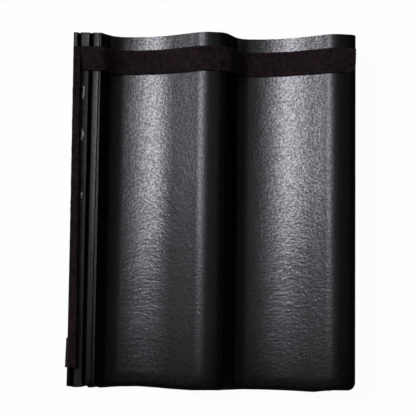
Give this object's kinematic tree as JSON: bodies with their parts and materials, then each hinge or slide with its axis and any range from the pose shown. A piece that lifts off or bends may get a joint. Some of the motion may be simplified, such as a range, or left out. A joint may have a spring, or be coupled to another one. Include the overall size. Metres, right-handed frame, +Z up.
{
  "type": "roof tile",
  "caption": "Black coated interlocking concrete roof tile with two rolls, a grooved side lock and foam sealing strips across the head and down the lock.",
  "frame": {"origin": "on the floor under the middle of the tile's bounding box, as it lies on its nibs and tail bar", "axes": "+Y up the slope from the tail to the head, +X across from the lock to the cover wing, +Z up"},
  "size_m": [0.3362, 0.4208, 0.0686],
  "materials": {
    "coated_concrete": "satin",
    "foam": "matte"
  },
  "bodies": {
    "root": {"tile": "coated_concrete", "head_seal": "foam", "side_seal": "foam"}
  },
  "joints": []
}
